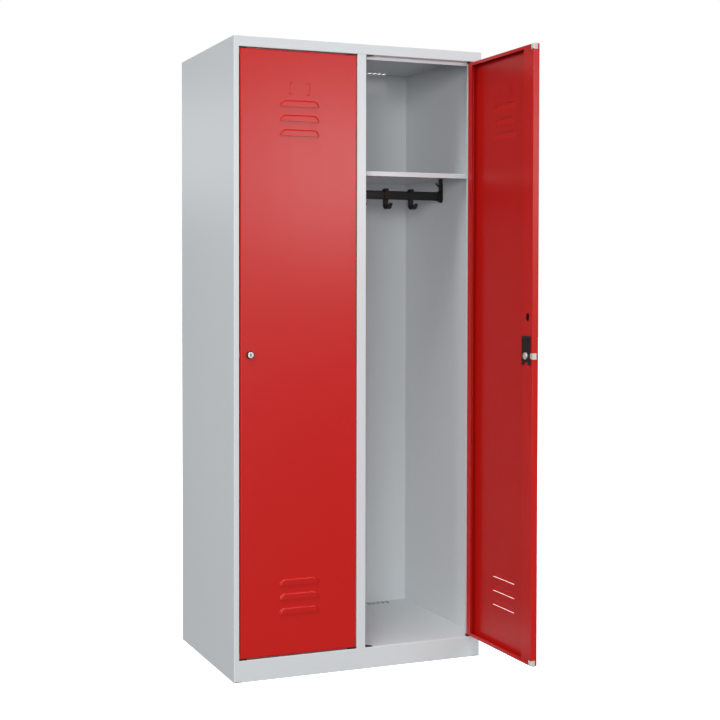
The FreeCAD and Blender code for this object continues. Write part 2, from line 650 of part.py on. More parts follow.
def door_panel():
    """Door pan folded from one sheet into a box on the lock side, with louvres, card frame and cut-outs."""
    corners = (FREE_EDGE, HINGE_EDGE, FRONT, LIP_BACK, DOOR_FOOT, DOOR_TOP)
    pan = hollow_block(corners, DOOR_SHEET, DOOR_FRONT_BEND, DOOR_REAR_BEND)
    window = block(
        FREE_EDGE + LOCK_LIP, HINGE_EDGE - HINGE_LIP, LIP_FRONT, LIP_BACK,
        DOOR_FOOT + END_LIP, DOOR_TOP - END_LIP,
    )
    lip_end = FREE_EDGE + LOCK_LIP
    lip_return = block(
        lip_end - DOOR_SHEET, lip_end, SKIN_BACK + LOCK_RETURN_GAP, LIP_BACK,
        DOOR_FOOT + END_LIP, DOOR_TOP - END_LIP,
    )
    feet = []
    for i in range(LOUVRE_COUNT):
        feet.append(DOOR_TOP - UPPER_LOUVRES_FROM_TOP - i * LOUVRE_PITCH)
        feet.append(DOOR_FOOT + LOWER_LOUVRES_FROM_FOOT + i * LOUVRE_PITCH)
    swellings = [louvre(foot, LOUVRE_WIDTH, LOUVRE_HEIGHT, LOUVRE_BULGE) for foot in feet]
    raised, grooves = card_frame()
    taken = list(grooves)
    inside = (LOUVRE_WIDTH - 2 * DOOR_SHEET, LOUVRE_HEIGHT - DOOR_SHEET)
    for foot in feet:
        taken.append(louvre(foot, *inside, LOUVRE_BULGE - DOOR_SHEET))
        taken.append(louvre_mouth(foot, *inside))
    taken.append(rod_y(BARREL_RADIUS + PIN_FIT, LOCK_X, LOCK_Z, FRONT, SKIN_BACK))
    body = case_body_corners(PIN_FIT)
    taken.append(block(*body))
    bolt_z = (LOCK_Z - BOLT_ROOM, LOCK_Z + BOLT_ROOM)
    taken.append(block(FREE_EDGE, body[0], BOLT_FRONT - MOVING_GAP, LIP_BACK, *bolt_z))
    slot_x, slot_z = FREE_EDGE + LIP_SLOT_FROM_EDGE, LOCK_Z + LIP_SLOT_ABOVE_LOCK
    slot = stadium(
        lambda u, v: V(slot_x - u, LIP_FRONT, slot_z + v), LIP_SLOT_HEIGHT / 2, LIP_SLOT_WIDTH / 2
    )
    taken.append(slot.extrude(V(0, DOOR_SHEET, 0)))
    taken += [block(*cap_space(DOOR_TOP, 1)), block(*cap_space(DOOR_FOOT, -1))]
    taken.append(rod_z(PIN_BORE_RADIUS, PIVOT_X, PIVOT_Y, DOOR_TOP - DOOR_FRONT_BEND, DOOR_TOP))
    taken.append(rod_z(PIN_BORE_RADIUS, PIVOT_X, PIVOT_Y, DOOR_FOOT, DOOR_FOOT + DOOR_FRONT_BEND))
    return pan.cut(window).fuse([lip_return] + swellings + raised).cut(taken)


def corner_cap(z_end, side):
    """Plastic cap in a notched corner of the door, rounded towards the inside."""
    x0, x1, y0, y1, z0, z1 = cap_space(z_end, side)
    z0, z1 = (z0, z1 + CAP_PAST_END) if side > 0 else (z0 - CAP_PAST_END, z1)
    y1 += CAP_PAST_LIP
    body = block(x0 - CAP_PAST_EDGE, x1, y0, y1, z0, z1)
    return body.makeFillet(CAP_ROUND, edges_where(body, lambda p: near(p.y, y1)))


def hinge_pin(z_end, side):
    """Pin through the end fold of the door, with a collar inside that is flat towards the skin's bend."""
    inside = z_end - side * DOOR_SHEET
    collar_end = inside - side * PIN_COLLAR
    shank = rod_z(PIN_RADIUS, PIVOT_X, PIVOT_Y, *sorted((collar_end, z_end + side * PIN_REACH)))
    collar_z = sorted((inside, collar_end))
    collar = rod_z(PIN_COLLAR_RADIUS, PIVOT_X, PIVOT_Y, *collar_z)
    behind_bend = block(
        PIVOT_X - PIN_COLLAR_RADIUS, PIVOT_X + PIN_COLLAR_RADIUS,
        FRONT + DOOR_FRONT_BEND, PIVOT_Y + PIN_COLLAR_RADIUS, *collar_z
    )
    return join(shank, collar.common(behind_bend))


def hinge_bush(surface, side):
    """Plastic bush in the lintel (side 1) or the floor (side -1), with a pad that faces the door."""
    thickness = END_GAP - REST_GAP
    pad_z = sorted((surface, surface - side * thickness))
    pad = rod_z(BUSH_PAD_RADIUS, PIVOT_X, PIVOT_Y, *pad_z)
    pad = pad.common(block(PIVOT_X - BUSH_PAD_RADIUS, REVEAL, FRONT + SHEET, STOP, *pad_z))
    barrel = rod_z(BUSH_RADIUS, PIVOT_X, PIVOT_Y, *sorted((surface, surface + side * BUSH_BARREL)))
    bore_z = sorted((surface - side * thickness, surface + side * BUSH_BARREL))
    bore = rod_z(PIN_BORE_RADIUS, PIVOT_X, PIVOT_Y, *bore_z)
    return join(pad, barrel).cut(bore)


def guide_pad(surface, side):
    """Tapered plastic pad on the lintel (side 1) or the floor (side -1) that the corner cap slides over."""
    thickness = END_GAP - CAP_PAST_END - REST_GAP
    z0, z1 = sorted((surface, surface - side * thickness))
    front = FRONT + SHEET + BEND
    end = POST_REVEAL + PAD_LENGTH
    plan = [
        (POST_REVEAL, front), (end, front), (end, front + PAD_NOSE),
        (end - PAD_TAPER, front + PAD_DEPTH), (POST_REVEAL, front + PAD_DEPTH),
    ]
    return outline([V(x, y, z0) for x, y in plan]).extrude(V(0, 0, z1 - z0))


def lock_rosette():
    """Round collar on the front of the door."""
    ring = rod_y(ROSETTE_RADIUS, LOCK_X, LOCK_Z, FRONT - ROSETTE_DEPTH, FRONT)
    ring = ring.makeFillet(ROSETTE_ROUND, round_rim(ring, FRONT - ROSETTE_DEPTH, ROSETTE_RADIUS))
    return ring.cut(rod_y(FACE_RADIUS + MOVING_GAP, LOCK_X, LOCK_Z, FRONT - ROSETTE_DEPTH, FRONT))


def lock_barrel():
    """Fixed sleeve through the door skin into the lock case."""
    outer = rod_y(BARREL_RADIUS, LOCK_X, LOCK_Z, FRONT, FRONT + BARREL_LENGTH)
    return outer.cut(rod_y(SHANK_RADIUS + PIN_FIT, LOCK_X, LOCK_Z, FRONT, FRONT + BARREL_LENGTH))


def lock_cylinder():
    """Turning cylinder with its face in front and its shaft behind."""
    face_front = FRONT - FACE_PROUD
    face = rod_y(FACE_RADIUS, LOCK_X, LOCK_Z, face_front, FRONT - MOVING_GAP)
    face = face.makeFillet(FACE_ROUND, round_rim(face, face_front, FACE_RADIUS))
    shank = rod_y(SHANK_RADIUS, LOCK_X, LOCK_Z, FRONT - MOVING_GAP, BOLT_FRONT - MOVING_GAP)
    shaft = rod_y(SHAFT_RADIUS, LOCK_X, LOCK_Z, BOLT_FRONT - MOVING_GAP, HUB_FRONT)
    low = V(LOCK_X, face_front, LOCK_Z - KEYWAY_HEIGHT / 2)
    high = V(LOCK_X, face_front, LOCK_Z + KEYWAY_HEIGHT / 2)
    bow = V(KEYWAY_WIDTH / 2, 0, 0)
    middle = V(LOCK_X, face_front, LOCK_Z)
    lens = [Part.Arc(low, middle + bow, high).toShape(), Part.Arc(high, middle - bow, low).toShape()]
    keyway = Part.Face(Part.Wire(lens)).extrude(V(0, KEYWAY_DEPTH, 0))
    return join(face, shank, shaft).cut(keyway)


def lock_hub():
    """Drum on the shaft's inner end, with the off-centre pin that drives the bolt."""
    hub_back = LIP_BACK + HUB_PAST_LIP
    drum = rod_y(HUB_RADIUS, LOCK_X, LOCK_Z, HUB_FRONT, hub_back)
    drum = drum.makeChamfer(HUB_CHAMFER, round_rim(drum, hub_back, HUB_RADIUS))
    offset = DRIVE_ECCENTRIC / math.sqrt(2)
    return join(drum, rod_y(DRIVE_PIN_RADIUS, LOCK_X + offset, LOCK_Z + offset, BOLT_FRONT, HUB_FRONT))


def lock_bolt():
    """Sliding bolt: a thick head at the door's edge and a slotted tail for the drive pin."""
    low, high = LOCK_Z - BOLT_HALF_HEIGHT, LOCK_Z + BOLT_HALF_HEIGHT
    head_end = CASE_LEFT - MOVING_GAP
    head = block(BOLT_TIP, head_end, BOLT_FRONT, BOLT_BACK, low, high)
    rear_edges = edges_where(head, lambda p: near(p.y, BOLT_BACK))
    level_edges = [e for e in rear_edges if near(e.Vertexes[0].Z, e.Vertexes[1].Z)]
    head = head.makeChamfer(BOLT_CHAMFER, level_edges)
    tail = block(head_end, TAIL_END, BOLT_FRONT, BOLT_TAIL_BACK, low, high)
    shaft_room = SHAFT_RADIUS + MOVING_GAP
    shaft_slot = block(
        LOCK_X - shaft_room, LOCK_X + BOLT_THROW + shaft_room, BOLT_FRONT, BOLT_TAIL_BACK,
        LOCK_Z - shaft_room, LOCK_Z + shaft_room,
    )
    offset = DRIVE_ECCENTRIC / math.sqrt(2)
    pin_room = DRIVE_PIN_RADIUS + DRIVE_PIN_PLAY
    pin_slot = block(
        LOCK_X + offset - pin_room, LOCK_X + offset + pin_room, BOLT_FRONT, BOLT_TAIL_BACK,
        LOCK_Z, LOCK_Z + DRIVE_ECCENTRIC + DRIVE_PIN_RADIUS + MOVING_GAP,
    )
    return join(head, tail).cut([shaft_slot, pin_slot])


def lock_case():
    """Plastic case on the lip: a cover plate notched at its foot, and a body that guides the bolt."""
    low, high = LOCK_Z - CASE_BELOW_AXIS, LOCK_Z + CASE_ABOVE_AXIS
    plate = block(CASE_LEFT, CASE_RIGHT, LIP_BACK, LIP_BACK + CASE_PROUD, low, high)
    through = [e for e in plate.Edges if near(e.Length, CASE_PROUD)]
    plate = plate.makeFillet(CASE_CORNER, through)
    corners = case_body_corners(0)
    room = block(
        corners[0], TAIL_END + MOVING_GAP, BOLT_FRONT - MOVING_GAP, BOLT_TAIL_BACK + MOVING_GAP,
        LOCK_Z - BOLT_ROOM, LOCK_Z + BOLT_ROOM,
    )
    notch = block(
        LOCK_X - HUB_ROOM, LOCK_X + HUB_ROOM, LIP_BACK, LIP_BACK + CASE_PROUD,
        low - CASE_CORNER, low + CASE_NOTCH,
    )
    notch = notch.makeFillet(CASE_CORNER, [e for e in notch.Edges if near(e.Length, CASE_PROUD)])
    hub_room = rod_y(HUB_ROOM, LOCK_X, LOCK_Z, BOLT_TAIL_BACK, LIP_BACK + CASE_PROUD)
    barrel_seat = rod_y(BARREL_RADIUS + PIN_FIT, LOCK_X, LOCK_Z, corners[2], BOLT_FRONT)
    return join(plate, block(*corners)).cut([room, notch, hub_room, barrel_seat])


def cabinet_pieces():
    """Everything that stands still."""
    left_strike = strike_room(-REVEAL)
    pieces = {
        "left_side_wall": mirrored(right_hand_wall(STOP_AT_LOCK)).cut(left_strike),
        "right_side_wall": right_hand_wall(STOP_AT_HINGE),
        "centre_partition": centre_partition(),
        "centre_post": centre_post(),
        "back_panel": block(-SEAM_CLEAR, SEAM_CLEAR, BACK_PANEL_FACE, BACK - SHEET, 0, CABINET_HEIGHT),
        "roof_panel": roof_panel(),
        "base_tray": base_tray(),
    }
    shelf, rail, bracket = hat_shelf(), coat_rail(), wall_bracket()
    inner_bracket = mirrored(bracket).translated(V(2 * COMPARTMENT_MIDDLE, 0, 0))
    for side, turn in (("right", lambda shape: shape), ("left", mirrored)):
        pieces[f"{side}_hat_shelf"] = turn(shelf)
        pieces[f"{side}_coat_rail"] = turn(rail)
        pieces[f"{side}_outer_rail_bracket"] = turn(bracket)
        pieces[f"{side}_inner_rail_bracket"] = turn(inner_bracket)
    for side, shift in (("right", V()), ("left", V(-COMPARTMENT_PITCH, 0, 0))):
        pieces[f"{side}_upper_hinge_bush"] = hinge_bush(LINTEL, 1).translated(shift)
        pieces[f"{side}_lower_hinge_bush"] = hinge_bush(FLOOR, -1).translated(shift)
        pieces[f"{side}_upper_guide_pad"] = guide_pad(LINTEL, 1).translated(shift)
        pieces[f"{side}_lower_guide_pad"] = guide_pad(FLOOR, -1).translated(shift)
    return pieces


def door_pieces():
    """One door with its lock, shut in the right-hand opening."""
    return {
        "door_panel": door_panel(),
        "upper_corner_cap": corner_cap(DOOR_TOP, 1),
        "lower_corner_cap": corner_cap(DOOR_FOOT, -1),
        "upper_hinge_pin": hinge_pin(DOOR_TOP, 1),
        "lower_hinge_pin": hinge_pin(DOOR_FOOT, -1),
        "lock_rosette": lock_rosette(),
        "lock_barrel": lock_barrel(),
        "lock_case": lock_case(),
        "lock_cylinder": lock_cylinder(),
        "lock_hub": lock_hub(),
        "lock_bolt": lock_bolt(),
    }


def all_pieces():
    """Every piece by name, the right door open and the left door shut."""
    pieces = cabinet_pieces()
    for name, shape in door_pieces().items():
        pieces[f"left_{name}"] = shape.translated(V(-COMPARTMENT_PITCH, 0, 0))
        opened = shape.copy()
        opened.rotate(V(PIVOT_X, PIVOT_Y, 0), V(0, 0, 1), OPEN_ANGLE)
        pieces[f"right_{name}"] = opened
    for side, middle in (("left", -COMPARTMENT_MIDDLE), ("right", COMPARTMENT_MIDDLE)):
        for number, place in enumerate((-1, 0, 1), start=1):
            pieces[f"{side}_coat_hook_{number}"] = coat_hook(middle + place * HOOK_SPACING)
    return pieces


os.makedirs("parts", exist_ok=True)
for name, shape in all_pieces().items():
    if not shape.isValid() or len(shape.Solids) != 1:
        print(f"{name}: valid {shape.isValid()}, solids {len(shape.Solids)}")
    shape.exportStep(f"parts/{name}.step")
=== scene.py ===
# %% [markdown]
# # Dressing a steel clothing locker
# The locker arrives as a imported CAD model: folded sheet-metal walls, two louvred doors on pivot pins,
# turning locks, hat shelves, coat rails and sliding hooks. Its shapes and sizes are already right.
# This lesson adds what the CAD model cannot say: how powder coat, moulded plastic and zinc take the
# light, and the small marks that making and using the locker leave on it.

# %% Load the frame
import json
import math

import bpy
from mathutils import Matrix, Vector


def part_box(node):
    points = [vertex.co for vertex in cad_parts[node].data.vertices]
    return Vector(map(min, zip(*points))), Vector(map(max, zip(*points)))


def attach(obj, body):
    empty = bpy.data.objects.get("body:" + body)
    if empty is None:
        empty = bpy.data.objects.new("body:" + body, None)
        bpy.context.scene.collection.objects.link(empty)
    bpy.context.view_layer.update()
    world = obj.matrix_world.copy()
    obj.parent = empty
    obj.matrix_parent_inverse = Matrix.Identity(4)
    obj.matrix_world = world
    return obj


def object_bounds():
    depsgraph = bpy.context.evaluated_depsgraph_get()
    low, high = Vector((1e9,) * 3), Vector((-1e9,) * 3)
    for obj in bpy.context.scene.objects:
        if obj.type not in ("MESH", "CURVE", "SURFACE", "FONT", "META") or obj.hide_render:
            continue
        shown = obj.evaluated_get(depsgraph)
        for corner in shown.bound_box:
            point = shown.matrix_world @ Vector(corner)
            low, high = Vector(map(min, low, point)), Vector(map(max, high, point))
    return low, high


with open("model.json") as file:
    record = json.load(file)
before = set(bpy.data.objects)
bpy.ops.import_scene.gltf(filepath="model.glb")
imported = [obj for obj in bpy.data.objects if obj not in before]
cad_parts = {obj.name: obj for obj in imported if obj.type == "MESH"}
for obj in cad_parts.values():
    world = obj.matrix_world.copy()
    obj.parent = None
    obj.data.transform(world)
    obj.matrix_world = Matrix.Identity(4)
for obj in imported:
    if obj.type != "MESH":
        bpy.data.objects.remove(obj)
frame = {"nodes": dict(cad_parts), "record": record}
cad_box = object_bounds()
nodes = frame["nodes"]
record = frame["record"]
MM = 0.001

# %% [markdown]
# ## Shader maths as Python
# A material is a graph of nodes, and wiring it by hand hides the idea behind it. A few small classes
# let us write a finish as a formula instead. A Value is one output of a node, and adding or
# multiplying Values adds the Math nodes that do the same. A Graph makes every other kind of node with
# one method. A Finish is the graph of one material, with the patterns that several finishes share.

# %% Values
class Value:
    """One output of a shader node that takes part in sums and products."""

    def __init__(self, graph, output):
        self.graph = graph
        self.output = output

    def maths(self, operation, first, second):
        return self.graph.node("ShaderNodeMath", {"operation": operation}, {0: first, 1: second})

    def __add__(self, other):
        return self.maths("ADD", self, other)

    def __radd__(self, other):
        return self.maths("ADD", other, self)

    def __sub__(self, other):
        return self.maths("SUBTRACT", self, other)

    def __rsub__(self, other):
        return self.maths("SUBTRACT", other, self)

    def __mul__(self, other):
        return self.maths("MULTIPLY", self, other)

    def __rmul__(self, other):
        return self.maths("MULTIPLY", other, self)


print("values add, subtract and multiply")


# %% Graphs of nodes
class Graph:
    """The nodes of a material or of the world."""

    def __init__(self, owner):
        owner.use_nodes = True
        self.tree = owner.node_tree

    def node(self, kind, settings=None, sockets=None, output=0):
        """Adds a node of a kind, sets it up, then feeds its sockets with values or links."""
        made = self.tree.nodes.new(kind)
        for name, setting in (settings or {}).items():
            setattr(made, name, setting)
        for name, value in (sockets or {}).items():
            self.feed(made.inputs[name], value)
        return Value(self, made.outputs[output])

    def feed(self, socket, value):
        if isinstance(value, Value):
            self.tree.links.new(value.output, socket)
        else:
            socket.default_value = value


print("a graph makes nodes and feeds sockets")


# %% Finishes
class Finish(Graph):
    """A material under construction. Its patterns sit on the coordinates of the piece it covers."""

    def __init__(self, name):
        self.material = bpy.data.materials.new(name)
        super().__init__(self.material)
        self.shader = self.tree.nodes["Principled BSDF"]
        self.place = self.node("ShaderNodeTexCoord", output="Object")

    def shade(self, **sockets):
        """Feeds the sockets of the shader itself, with underscores for the spaces in their names."""
        for name, value in sockets.items():
            self.feed(self.shader.inputs[name.replace("_", " ")], value)

    def grain(self, size, detail=2.0, stretch=None):
        """Cloudy noise from 0 to 1 with grains of a size in metres, drawn out by a factor per axis."""
        place = self.place
        if stretch:
            shrink = [1 / factor for factor in stretch]
            place = self.node("ShaderNodeMapping", {}, {"Vector": place, "Scale": shrink})
        sockets = {"Vector": place, "Scale": 1 / size, "Detail": detail}
        return self.node("ShaderNodeTexNoise", {}, sockets)

    def rise(self, value, start, end):
        """0 where the value is at start, 1 where it is at end, and smooth in between."""
        return self.node(
            "ShaderNodeMapRange", {"interpolation_type": "SMOOTHSTEP"},
            {"Value": value, "From Min": start, "From Max": end},
        )

    def blend(self, factor, first, second):
        """One colour where the factor is 0 and the other where it is 1."""
        first, second = (c if isinstance(c, Value) else (*c, 1) for c in (first, second))
        sockets = {0: factor, 6: first, 7: second}
        return self.node("ShaderNodeMix", {"data_type": "RGBA"}, sockets, output=2)

    def along(self, axis):
        """One coordinate of the piece, in metres."""
        return self.node("ShaderNodeSeparateXYZ", {}, {0: self.place}, output="XYZ".index(axis))

    def distance(self, centre, weights=(1, 1, 1)):
        """Distance in metres from a point, with a weight per axis. A weight of 0 makes it a line."""
        away = self.node("ShaderNodeVectorMath", {"operation": "SUBTRACT"}, {0: self.place, 1: centre})
        away = self.node("ShaderNodeVectorMath", {"operation": "MULTIPLY"}, {0: away, 1: weights})
        return self.node("ShaderNodeVectorMath", {"operation": "LENGTH"}, {0: away}, output="Value")

    def bump(self, height, depth):
        """Relief of a depth in metres where the height goes from 0 to 1."""
        relief = self.node("ShaderNodeBump", {}, {"Height": height, "Distance": depth, "Strength": 1.0})
        self.shade(Normal=relief)


def tone(colour, factor):
    """The same colour, lighter or darker."""
    return tuple(channel * factor for channel in colour)


print("a finish has grain, masks, colours and relief")

# %% [markdown]
# ## Powder coat
# The sheet is sprayed with dry powder that melts into a satin skin in the oven. Up close the skin has
# a fine orange peel, about two millimetres from dimple to dimple, and an even finer grit. Its colour
# is never quite even: it is a little thinner here and there, and hands and cleaning cloths leave
# patches that are a touch glossier or duller. A painted image could show that from one distance
# only, while noise at those sizes holds at any. The relief stays at hundredths of a millimetre, so
# that it only breaks up the highlights.

# %% Powder coat for the cabinet and the doors
PEEL_SIZE = 2.4 * MM
PEEL_DEPTH = 0.022 * MM
GRIT_SIZE = 0.5 * MM
PATCH_SIZE = 0.45
WIPE_SIZE = 0.03
WIPE_STRETCH = (1.0, 1.0, 9.0)
GLOSS_CHANGE = 0.04
GRIT_IN_COLOUR = 0.25
GRIT_IN_RELIEF = 0.2


def powder_coat(name, colour, roughness, patch_tone):
    """Satin powder coat, returned unfinished so that a piece can add its own marks."""
    paint = Finish(name)
    patches = paint.grain(PATCH_SIZE, detail=3)
    grit = paint.grain(GRIT_SIZE, detail=1)
    wipes = paint.grain(WIPE_SIZE, detail=3, stretch=WIPE_STRETCH)
    peel = paint.grain(PEEL_SIZE, detail=1.5)
    paint.colour_mask = (1 - GRIT_IN_COLOUR) * patches + GRIT_IN_COLOUR * grit
    paint.colours = (tone(colour, 1 - patch_tone), tone(colour, 1 + patch_tone))
    paint.roughness = roughness + GLOSS_CHANGE * (patches - 0.5) + GLOSS_CHANGE * (wipes - 0.5)
    paint.bump((1 - GRIT_IN_RELIEF) * peel + GRIT_IN_RELIEF * grit, PEEL_DEPTH)
    return paint


print("powder coat ready")

# %% [markdown]
# ## Cabinet grey
# The cabinet is a light, slightly cool grey. Near the floor it gathers a trace of dust, and the plinth
# has faint level scuffs from shoes and mops. Both could be painted by hand, but a mask along the
# height puts them on every wall at once. Both stay weak, because the locker is nearly new.

# %% Cabinet paint
CABINET_GREY = (0.672, 0.704, 0.723)
CABINET_ROUGHNESS = 0.31
CABINET_PATCHES = 0.015
DUST_HEIGHT = 0.16
DUST_TONE = 0.6
DUST_DULL = 0.10
SCUFF_TOP, SCUFF_FULL = 0.075, 0.03
SCUFF_SIZE = 0.006
SCUFF_STRETCH = (14.0, 14.0, 1.0)
SCUFF_FROM, SCUFF_TO = 0.64, 0.74
SCUFF_TONE = 1.2
SCUFF_DULL = 0.12

cabinet_paint = powder_coat("cabinet_paint", CABINET_GREY, CABINET_ROUGHNESS, CABINET_PATCHES)
height = cabinet_paint.along("Z")
dust = cabinet_paint.rise(height, DUST_HEIGHT, 0.0)
low = cabinet_paint.rise(height, SCUFF_TOP, SCUFF_FULL)
streaks = cabinet_paint.grain(SCUFF_SIZE, 2, SCUFF_STRETCH)
scuffs = low * cabinet_paint.rise(streaks, SCUFF_FROM, SCUFF_TO)
light_and_dark = cabinet_paint.colour_mask - (DUST_TONE * dust + SCUFF_TONE * scuffs)
cabinet_paint.shade(
    Base_Color=cabinet_paint.blend(light_and_dark, *cabinet_paint.colours),
    Roughness=cabinet_paint.roughness + DUST_DULL * dust + SCUFF_DULL * scuffs,
)
print("cabinet grey", CABINET_GREY)

# %% [markdown]
# ## Door red
# The doors have the same coat in a strong red. Close to the lock, a key that missed its slot has left
# fine marks that are a little glossier. The faces that look into the cabinet are painted a little
# darker, as painted shade: fully on the back of the skin, less on the lips. The inside could be split
# off as a second material, but a mask by depth needs no change to the mesh. The two doors stand at
# different angles in the frame, so each has its own material, with the marks round its own lock and
# the depth measured from the back of its own lips.

# %% Door paint
DOOR_RED = (0.553, 0.0083, 0.0056)
DOOR_ROUGHNESS = 0.30
DOOR_PATCHES = 0.02
MARK_REACH, MARK_FULL = 0.035, 0.01
MARK_SIZE = 0.8 * MM
MARK_STRETCH = (1, 1, 6)
MARK_FROM, MARK_TO = 0.58, 0.68
MARK_SHINE = 0.08
# Painted shade on the doors' inside faces: where it starts by depth, its share on the lips, its darker red.
ON_LIPS = (0.6 * MM, 0.2 * MM)
NEAR_SKIN = (16.0 * MM, 19.0 * MM)
IN_SKIN = (20.4 * MM, 20.0 * MM)
LIP_SHADE_SHARE = 0.6
INSIDE_SHADE_TONE = 0.85
SIDES = ("left", "right")


def middle_of(node):
    """Middle of a CAD node's box at rest."""
    lowest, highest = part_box(node)
    return (Vector(lowest) + Vector(highest)) / 2


def inside_shade_mask(paint, side):
    """Painted shade on a door's inside: 1 inside one door's skin, less on its lips, 0 on its walls and
    front.
    """
    lowest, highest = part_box(f"{side}_door_panel")
    depth = highest[1] - paint.along("Y") if side == "left" else paint.along("X") - lowest[0]
    on_lips = paint.rise(depth, *ON_LIPS)
    on_skin = paint.rise(depth, *NEAR_SKIN) * paint.rise(depth, *IN_SKIN)
    return LIP_SHADE_SHARE * on_lips + on_skin


def door_red(side):
    """Red powder coat with key marks by one door's lock and painted shade on its inside."""
    paint = powder_coat(f"{side}_door_paint", DOOR_RED, DOOR_ROUGHNESS, DOOR_PATCHES)
    near_lock = paint.rise(paint.distance(middle_of(f"{side}_lock_rosette")), MARK_REACH, MARK_FULL)
    marks = near_lock * paint.rise(paint.grain(MARK_SIZE, 2, MARK_STRETCH), MARK_FROM, MARK_TO)
    coat = paint.blend(paint.colour_mask, *paint.colours)
    paint.shade(
        # The inside faces are blended towards a darker red: painted shade.
        Base_Color=paint.blend(inside_shade_mask(paint, side), coat, tone(DOOR_RED, INSIDE_SHADE_TONE)),
        Roughness=paint.roughness - MARK_SHINE * marks,
    )
    return paint


door_paint = {side: door_red(side) for side in SIDES}
print("door red", DOOR_RED)

# %% [markdown]
# ## Moulded plastics
# Rails, hooks, brackets, bushes, pads, rosettes and lock cases are moulded in black. The mould is
# spark-eroded, which leaves a fine, even grain and a low sheen. The corner caps of the doors are the
# same stuff in white, with a smoother skin. One function makes both, because only the colour, the
# sheen and the depth of the grain differ.

# %% Black and white plastic
GRAIN_SIZE = 0.7 * MM
GRAIN_DEPTH = 0.03 * MM
FLOW_SIZE = 40 * MM
FLOW_SHEEN = 0.10
GRAIN_SHEEN = 0.08
PLASTIC_UNEVEN = 0.15
PLASTIC_BLACK = (0.0075, 0.0075, 0.0080)
BLACK_ROUGHNESS = 0.46
PLASTIC_WHITE = (0.58, 0.57, 0.55)
WHITE_ROUGHNESS = 0.42
WHITE_GRAIN_DEPTH = 0.3 * GRAIN_DEPTH


def moulded(name, colour, roughness, depth):
    """Moulded plastic with an eroded grain and slightly uneven sheen."""
    plastic = Finish(name)
    grain = plastic.grain(GRAIN_SIZE, detail=2)
    flow = plastic.grain(FLOW_SIZE, detail=2)
    dark, light = tone(colour, 1 - PLASTIC_UNEVEN), tone(colour, 1 + PLASTIC_UNEVEN)
    plastic.shade(
        Base_Color=plastic.blend(0.5 * grain + 0.5 * flow, dark, light),
        Roughness=roughness + FLOW_SHEEN * (flow - 0.5) + GRAIN_SHEEN * (grain - 0.5),
    )
    plastic.bump(grain, depth)
    return plastic


black_plastic = moulded("black_plastic", PLASTIC_BLACK, BLACK_ROUGHNESS, GRAIN_DEPTH)
white_plastic = moulded("white_plastic", PLASTIC_WHITE, WHITE_ROUGHNESS, WHITE_GRAIN_DEPTH)
print("black and white plastic ready")

# %% [markdown]
# ## Zinc and steel
# The lock is die-cast zinc with a satin plating. Its face is turned on a lathe, which leaves fine rings
# round its axis. They are far too fine to model, so they are relief, made from the distance to that
# axis. Each lock has its own axis, and a weight of 0 along it turns the distance from a point into
# the distance from a line. Inside the keyway the zinc is painted near black, as painted shade. The
# bolts and hubs are tumbled, which scatters the light so much that they look almost white. The hinge
# pins are drawn steel with lines along their length.

# %% Turned zinc of the lock faces
ZINC = (0.86, 0.85, 0.83)
ZINC_ROUGHNESS = 0.32
PLATING = 0.7
RING_PITCH = 0.22 * MM
RING_DEPTH = 0.008 * MM
RING_SHEEN = 0.05
WEAR_SIZE = 3 * MM
WEAR_TONES = (0.94, 1.04)
WEAR_DULL = 0.10
# Near-black colour painted inside the keyway as painted shade.
KEYWAY_SHADE_COLOUR = (0.006, 0.006, 0.006)
KEYWAY_REACH = (7.0 * MM, 6.3 * MM)
KEYWAY_DEEP = (0.1 * MM, 0.6 * MM)
LOCK_AXIS = {"left": (1, 0, 1), "right": (0, 1, 1)}


def turned_zinc(side):
    """Bright zinc with turning rings round the axis of one lock."""
    zinc = Finish(f"{side}_turned_zinc")
    from_axis = zinc.distance(middle_of(f"{side}_lock_rosette"), LOCK_AXIS[side])
    turns = from_axis * (2 * math.pi / RING_PITCH)
    rings = zinc.node("ShaderNodeMath", {"operation": "SINE"}, {0: turns})
    wear = zinc.grain(WEAR_SIZE, detail=3)
    lowest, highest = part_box(f"{side}_lock_cylinder")
    behind_face = zinc.along("Y") - lowest[1] if side == "left" else highest[0] - zinc.along("X")
    # Painted shade: deep in the keyway the zinc turns near black and loses its metal.
    keyway_shade = zinc.rise(from_axis, *KEYWAY_REACH) * zinc.rise(behind_face, *KEYWAY_DEEP)
    plating = zinc.blend(wear, *(tone(ZINC, factor) for factor in WEAR_TONES))
    zinc.shade(
        Base_Color=zinc.blend(keyway_shade, plating, KEYWAY_SHADE_COLOUR),
        Metallic=PLATING * (1 - keyway_shade),
        Roughness=ZINC_ROUGHNESS + RING_SHEEN * rings + WEAR_DULL * wear,
    )
    zinc.bump(0.5 + 0.5 * rings, RING_DEPTH)
    return zinc


turned = {side: turned_zinc(side) for side in SIDES}
print("lock faces", list(turned))

# %% Tumbled zinc, drawn steel and blackened steel
STEEL = (0.56, 0.56, 0.57)
STEEL_ROUGHNESS = 0.32
BLACKENED = (0.05, 0.05, 0.052)
TUMBLED_ROUGHNESS = 0.42
TUMBLE_SIZE = 0.6 * MM
TUMBLE_DEPTH = 0.01 * MM
TUMBLE_SHEEN = 0.10
PATINA_SIZE = 6 * MM
PATINA_TONE = 0.08
PATINA_SHEEN = 0.12
EVEN = (1, 1, 1)
DRAWN = (1, 1, 20)


